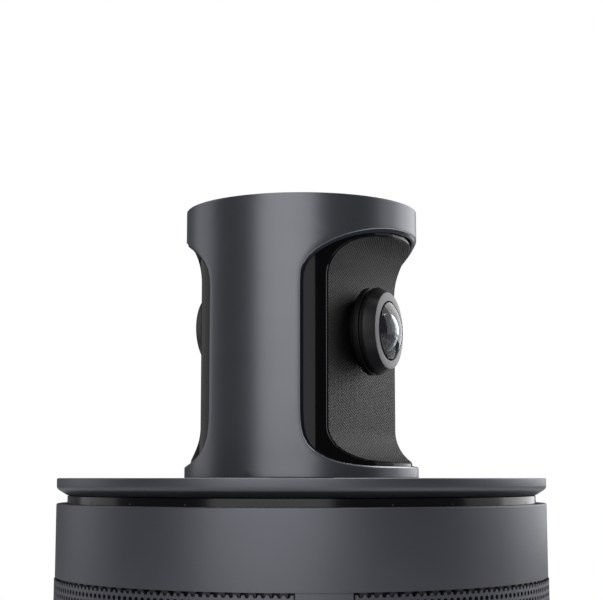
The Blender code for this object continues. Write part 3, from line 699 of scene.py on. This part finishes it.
def window_loop(inset, sill, depth):
    """The window's outline as (azimuth, height), from its lower left corner round to the right."""
    radius = TURRET_R - depth
    half = radius * math.sin(math.asin(WINDOW_HALF / TURRET_R) - inset / radius)
    foot = (WINDOW_Z[0] + WINDOW_FOOT[0], WINDOW_FOOT[0] - sill, WINDOW_FOOT[1])
    head = (WINDOW_Z[1] - WINDOW_HEAD[0], WINDOW_HEAD[0] - inset, WINDOW_HEAD[1])
    sides = [
        (oval(half, foot, 225, 315), WIDE),
        (oval(half, foot, 315, 360) + oval(half, head, 0, 45), TALL),
        (oval(half, head, 45, 135), WIDE),
        (oval(half, head, 135, 180) + oval(half, foot, 180, 225), TALL),
    ]
    return [(math.asin(x / radius), z) for line, cells in sides for x, z in spaced(line, cells)]


def frame_loop():
    """The rectangle round the window, half way round the turret, with as many points."""
    low, high = SHELL_FOOT, TURRET_Z[1]
    quarter = math.pi / 2
    loop = [(-quarter + math.pi * k / WIDE, low) for k in range(WIDE)]
    loop += [(quarter, low + (high - low) * k / TALL) for k in range(TALL)]
    loop += [(quarter - math.pi * k / WIDE, high) for k in range(WIDE)]
    loop += [(-quarter, high - (high - low) * k / TALL) for k in range(TALL)]
    return loop


def turret_shell():
    around = frame_loop()
    edges = [(window_loop(*step), TURRET_R - step[2]) for step in WINDOW_EDGE]
    count = len(around)
    outside, inside = 10, 6
    rows = outside + len(edges) - 1 + inside

    def mixed(a, b, part, radius, turn):
        return bent(a[0] + (b[0] - a[0]) * part + turn, radius, a[1] + (b[1] - a[1]) * part)

    def half_shell(turn):
        def point(u, v):
            i = round(u * count) % count
            row = round(v * rows)
            step = min(max(row - outside, 0), len(edges) - 1)
            edge, radius = edges[step]
            part = row / outside if row < outside else 1.0
            if row > rows - inside:
                part = (rows - row) / inside
            return mixed(around[i], edge[i], part, radius, turn)
        return warped(count, rows, point)

    shape = joined(half_shell(LENS_AZ), half_shell(LENS_AZ + math.pi))
    bmesh.ops.remove_doubles(shape, verts=shape.verts, dist=0.001 * MM)
    middle = sum(TURRET_Z) / 2 * MM
    for side in (1, -1):
        rim = [e for e in shape.edges if e.is_boundary and (e.verts[0].co.z - middle) * side > 0]
        bmesh.ops.bridge_loops(shape, edges=rim)
    shell = piece("turret_housing", shape, ANODISED, "turret", ["turret_shell"])
    shell.data.materials.append(WINDOW_LIP_PAINTED_HIGHLIGHT)
    shell.data.materials.append(WINDOW_RETURN_PAINTED_SHADE)
    # The lip gets the painted highlight; the slope and the wall behind it get the painted shade.
    for face in shell.data.polygons:
        depth = TURRET_R - face.center.xy.length / MM
        if WINDOW_Z[0] < face.center.z / MM < WINDOW_Z[1] and 0.08 < depth < SHELL_WALL - 0.05:
            face.material_index = 1 if depth < LIP_DEPTH else 2
    soften(shell, 0.08, 2, 20)
    return settle(shell)


MOUTH = 27.7                     # distance from the axis of the centres of its head and foot arcs
HEAD_Z = DECK_TOP + 46.9
FOOT_Z = DECK_TOP + 12.05
FOOT_H = 8.6                     # height of the foot's arc
BORE_R = 8.7                     # hole for the lens barrel
BORE_SPAN = (8, 21)              # how far out from the axis the hole starts and ends
CAVITY = ((-19, 19), (-13.2, 13.2), (90, 157))


def recess_profile(extra, reach):
    """Side view of the recess as (distance from the axis, height), from its foot up to its head."""
    depth = MOUTH - BACK + extra
    stop = math.degrees(math.acos((MOUTH - reach) / depth))
    foot = arc((MOUTH, FOOT_Z), (depth, FOOT_H + extra), 180 + stop, 180, 24)
    head = arc((MOUTH, HEAD_Z), (depth, depth), 180, 180 - stop, 24)
    flat = [(MOUTH - depth, FOOT_Z + (HEAD_Z - FOOT_Z) * k / 16) for k in range(1, 16)]
    return [*foot, *flat, *head]


def on_lens(out, across, z, turn=0.0):
    """A point given by its distance out along the lens axis, its distance across, and its height."""
    azimuth = LENS_AZ + turn
    return (out * math.sin(azimuth) + across * math.cos(azimuth),
            -out * math.cos(azimuth) + across * math.sin(azimuth), z)


def lens_bore(side, turn):
    start, end = BORE_SPAN
    bore = lathe([(0, start), (BORE_R, start), (BORE_R, end), (0, end)], False, 96)
    return aimed(bore, LENS_AZ + turn, LENS_Z[side])


def core():
    profile = recess_profile(0.0, CORE_R)
    low, high = CORE_Z
    heights = [(CORE_R, low), (CORE_R, (low + profile[0][1]) / 2), *profile,
               (CORE_R, (high + profile[-1][1]) / 2), (CORE_R, high)]
    rows = len(heights) - 1

    def strip(side):
        def point(u, v):
            out, z = heights[round(v * rows)]
            start = math.acos(min(out / CORE_R, 1.0))
            return bent(LENS_AZ + side * (start + (math.pi - 2 * start) * u), CORE_R, z)
        return warped(64, rows, point)

    def hollow(turn):
        def point(u, v):
            out, z = profile[round(v * (len(profile) - 1))]
            half = math.sqrt(max(CORE_R ** 2 - out ** 2, 0.0))
            return on_lens(out, half * (2 * u - 1), z, turn)
        return warped(24, len(profile) - 1, point)

    shape = joined(strip(1), strip(-1), hollow(0.0), hollow(math.pi))
    bmesh.ops.remove_doubles(shape, verts=shape.verts, dist=0.002 * MM)
    bmesh.ops.edgeloop_fill(shape, edges=[e for e in shape.edges if e.is_boundary])
    body = piece("turret_core_body", shape, SMOKED, "turret", ["turret_core"])
    soften(body, 0.35, 3, 28)
    cavity = block(*CAVITY, 0)
    turned = Matrix.Rotation(LENS_AZ, 3, "Z")
    bmesh.ops.rotate(cavity, cent=(0, 0, 0), matrix=turned, verts=cavity.verts)
    settle(body)
    return settle(body, cavity, *[lens_bore(side, turn) for side, turn in SIDES])


LINING_REACH = 27.1              # the lining stops here, just short of the mouth
LINING_MARGIN = 0.45             # strip of the core left bare on each side of it


def lining(side, turn):
    profile = recess_profile(-LINING_PROUD, LINING_REACH)

    def point(u, v):
        out, z = profile[round(v * (len(profile) - 1))]
        half = math.sqrt(CORE_R ** 2 - out ** 2) - LINING_MARGIN
        return on_lens(out, half * (2 * u - 1), z, turn)

    shape = facing(warped(48, len(profile) - 1, point), OUTWARD * math.cos(turn))
    sheet = piece("recess_lining_" + side, shape, KNURL, "turret",
                  ["lens_surround_" + side], closed=False)
    thicken(sheet, LINING_PROUD + 0.05)
    return settle(sheet, lens_bore(side, turn))


BARREL_R = 8.4
BARREL_BORE_R = 7.6
BEZEL_R = 10.8                   # widest radius of the lens ring
BEZEL_FACE_R = 9.43              # outer edge of its flat face
GLASS_R = 7.0
DOME_APEX = 26.45
DOME_R = 11.9
HOLLOW_R = 6.6                   # radius of the dome's inner face
BULGE_R = 11.8                   # and of the second element's front


def lens(side, turn):
    height = LENS_Z[side]
    out = lens_out(side)
    azimuth = LENS_AZ + turn
    steps = 128

    def put(name, profile, material, stands_for=(), closed=True):
        shape = aimed(lathe(profile, closed, steps), azimuth, height, out)
        return piece(f"{name}_{side}", shape, material, "turret", stands_for)

    barrel = [(BARREL_BORE_R, 20.3), (10.0, 20.3), (10.0, 19.9, 0.1), (BEZEL_R, 19.9, 0.25),
              (BEZEL_R, 18.4, 0.2), (BARREL_R, 18.4), (BARREL_R, 6.5), (BARREL_BORE_R, 6.5)]
    put("lens_tube", rounded(barrel, 0.1, True), TUBE, ["lens_barrel_" + side])
    bezel = [(GLASS_R + FIT, 24.0, 0.12), (BEZEL_FACE_R, 23.75, 0.25), (BEZEL_R, 21.4, 0.4),
             (BEZEL_R, 20.6, 0.3), (BARREL_R, 20.6), (GLASS_R + FIT, 21.4)]
    ring = put("lens_ring", rounded(bezel, 0.1, True), CONE, ["lens_bezel_" + side])
    ring.data.materials.append(RING)
    way = OUTWARD * math.cos(turn)
    for face in ring.data.polygons:
        if face.normal.dot(way) > 0.8:
            face.material_index = 1
    rim = math.degrees(math.asin(GLASS_R / DOME_R))
    front = arc((0, DOME_APEX - DOME_R), (DOME_R, DOME_R), 90, 90 - rim, 20)
    hollow = DOME_APEX - 1.55
    back = arc((0, hollow - HOLLOW_R), (HOLLOW_R, HOLLOW_R), 30, 90, 16)
    dome = [(0, DOME_APEX), *front[1:], (GLASS_R, 21.6), *back[:-1], (0, hollow)]
    glass = put("lens_glass", dome, GLASS, ["lens_dome_" + side], False)
    glass.data.materials.append(MATTE)
    for face in glass.data.polygons:
        if abs(face.normal.dot(way)) < 0.3 or face.center.dot(way) < (21.7 + out) * MM:
            face.material_index = 1
    steps_in = [(7.5, 17.9), (7.5, 20.2), (7.2, 20.2), (7.2, 19.6), (6.6, 19.6), (6.6, 19.1), (6.0, 19.1),
                (6.0, 18.6), (5.4, 18.6), (5.4, 18.2), (4.9, 18.2), (4.9, 17.9)]
    put("lens_baffle", rounded(steps_in, 0.06, True, 2), MATTE)
    bulge = arc((0, 6.0), (BULGE_R, BULGE_R), 90, 54, 16)
    element = [(0, 6.0 + BULGE_R), *bulge[1:], (bulge[-1][0], 12.6), (0, 12.6)]
    put("lens_inner_glass", element, INNER_GLASS, ["lens_rear_element_" + side], False)


def turret():
    turret_shell()
    low, high = CAP_Z
    cap = lathe(rounded([(0, high), (CAP_R, high, 0.4), (CAP_R, low), (0, low)], 0.2), False)
    piece("turret_cap", cap, ANODISED, "turret", ["top_cap"])
    core()
    for side, turn in SIDES:
        lining(side, turn)
        lens(side, turn)


# ---- Sockets and button ----


PINS = 8                         # contacts of the network socket: spacing, half width, reach and thickness
PIN_STEP = 1.02
PIN_HALF = 0.22
PIN_Y = (40.5, 49.5)
PIN_DROP = (3.6, 3.25)
FLANGE_R = 4.6                   # of the power button, behind the housing's wall
STEM_R = 1.6


def ports():
    low, high = limits("network_socket")
    pins = []
    for k in range(PINS):
        x = (low[0] + high[0]) / 2 + (k - (PINS - 1) / 2) * PIN_STEP
        heights = [high[2] - drop for drop in PIN_DROP]
        pins.append(block((x - PIN_HALF, x + PIN_HALF), PIN_Y, heights, 0.05))
    piece("network_contacts", joined(*pins), GOLD, "base")
    low, high = limits("usb_socket")
    middle = (low[2] + high[2]) / 2
    tongue = block((low[0] + 1.4, high[0] - 1.4), (45.2, 50.2), (middle - 0.35, middle + 0.35), 0.1)
    piece("usb_tongue", tongue, MATTE, "base")
    low, high = limits("power_button")
    profile = [(0, high[1]), (BUTTON_R - 0.3, high[1] - 0.1, 0.3), (BUTTON_R, 59.3, 0.3), (BUTTON_R, 56.7),
               (FLANGE_R, 56.7), (FLANGE_R, 55.8), (STEM_R, 55.8), (STEM_R, low[1]), (0, low[1])]
    button = aimed(lathe(rounded(profile, 0.1), False, 96), math.pi, BUTTON_Z)
    piece("power_key", button, GLOSS, "button", ["power_button"])


base()
deck()
turret()
ports()

slots = {row["node"]: row["material_slot"] for row in frame["record"]["subparts"]}
for name, node in frame["nodes"].items():
    if not node.hide_render:
        node.data.materials.clear()
        node.data.materials.append(BY_SLOT[slots[name]])

# ---- Floor, light and camera ----

FACING = -4.5                    # azimuth of the camera and its upward tilt, in degrees
TILT = 7.262
DISTANCE = 0.35                  # from the turret's axis to the camera, in metres
EYE_Z = DECK_TOP + 0.1           # height of the camera, in millimetres
FLOOR_R = 0.58

floor_mesh = bpy.data.meshes.new("floor")
ground = bmesh.new()
bmesh.ops.create_circle(ground, cap_ends=True, segments=128, radius=FLOOR_R)
ground.to_mesh(floor_mesh)
ground.free()
floor = bpy.data.objects.new("floor", floor_mesh)
bpy.context.scene.collection.objects.link(floor)
# Pale lacquered table top.
floor_mesh.materials.append(surface("pale_table_top", "#D6D6D6", "#CECECE", 0.5, 1.0, 0.01))


def softbox(name, azimuth, half_angle, low, high, radiance, distance=1.0):
    """An upright soft light that faces the turret. Its azimuth is counted from the camera's."""
    width = 2 * distance * math.tan(math.radians(half_angle))
    data = bpy.data.lights.new(name, "AREA")
    data.shape = "RECTANGLE"
    data.size = width
    data.size_y = high - low
    data.energy = radiance * math.pi * width * (high - low)
    lamp = bpy.data.objects.new(name, data)
    turn = math.radians(azimuth + FACING)
    lamp.location = (distance * math.sin(turn), -distance * math.cos(turn), (low + high) / 2)
    lamp.rotation_euler = (math.pi / 2, 0, turn)
    lamp.visible_camera = False
    bpy.context.scene.collection.objects.link(lamp)


softbox("key_light", -14.5, 28, 0.04, 1.25, 1.5)
softbox("left_rim_light", -112, 17, 0.0, 1.1, 0.64)
softbox("right_fill_light", 96, 15, 0.08, 1.2, 0.7)
softbox("right_rim_light", 132, 23, 0.06, 1.3, 1.9)

overhead = bpy.data.lights.new("overhead_light", "AREA")
overhead.shape = "SQUARE"
overhead.size = 0.8
overhead.energy = 4.0 * math.pi * overhead.size ** 2
lamp = bpy.data.objects.new("overhead_light", overhead)
lamp.location = (0.0, 0.1, 1.2)
lamp.visible_camera = False
bpy.context.scene.collection.objects.link(lamp)

world = bpy.data.worlds.new("studio")
world.use_nodes = True
tree = world.node_tree
tree.nodes.clear()
seen = add(tree, "ShaderNodeLightPath").outputs["Is Camera Ray"]
dim = add(tree, "ShaderNodeBackground", {"Color": tone("#E8ECF6"), "Strength": 0.14})
white = add(tree, "ShaderNodeBackground", {"Color": (1, 1, 1, 1), "Strength": 1.0})
both = add(tree, "ShaderNodeMixShader", {0: seen, 1: dim.outputs[0], 2: white.outputs[0]})
add(tree, "ShaderNodeOutputWorld", {"Surface": both.outputs[0]})
bpy.context.scene.world = world
bpy.context.scene.view_settings.view_transform = "Standard"

data = bpy.data.cameras.new("camera")
data.lens = 83.25
data.sensor_width = 36.0
data.clip_start = 0.01
camera = bpy.data.objects.new("camera", data)
turn = math.radians(FACING)
camera.location = (DISTANCE * math.sin(turn), -DISTANCE * math.cos(turn), EYE_Z * MM)
camera.rotation_euler = (math.radians(90 + TILT), 0, turn)
bpy.context.scene.collection.objects.link(camera)
bpy.context.scene.camera = camera
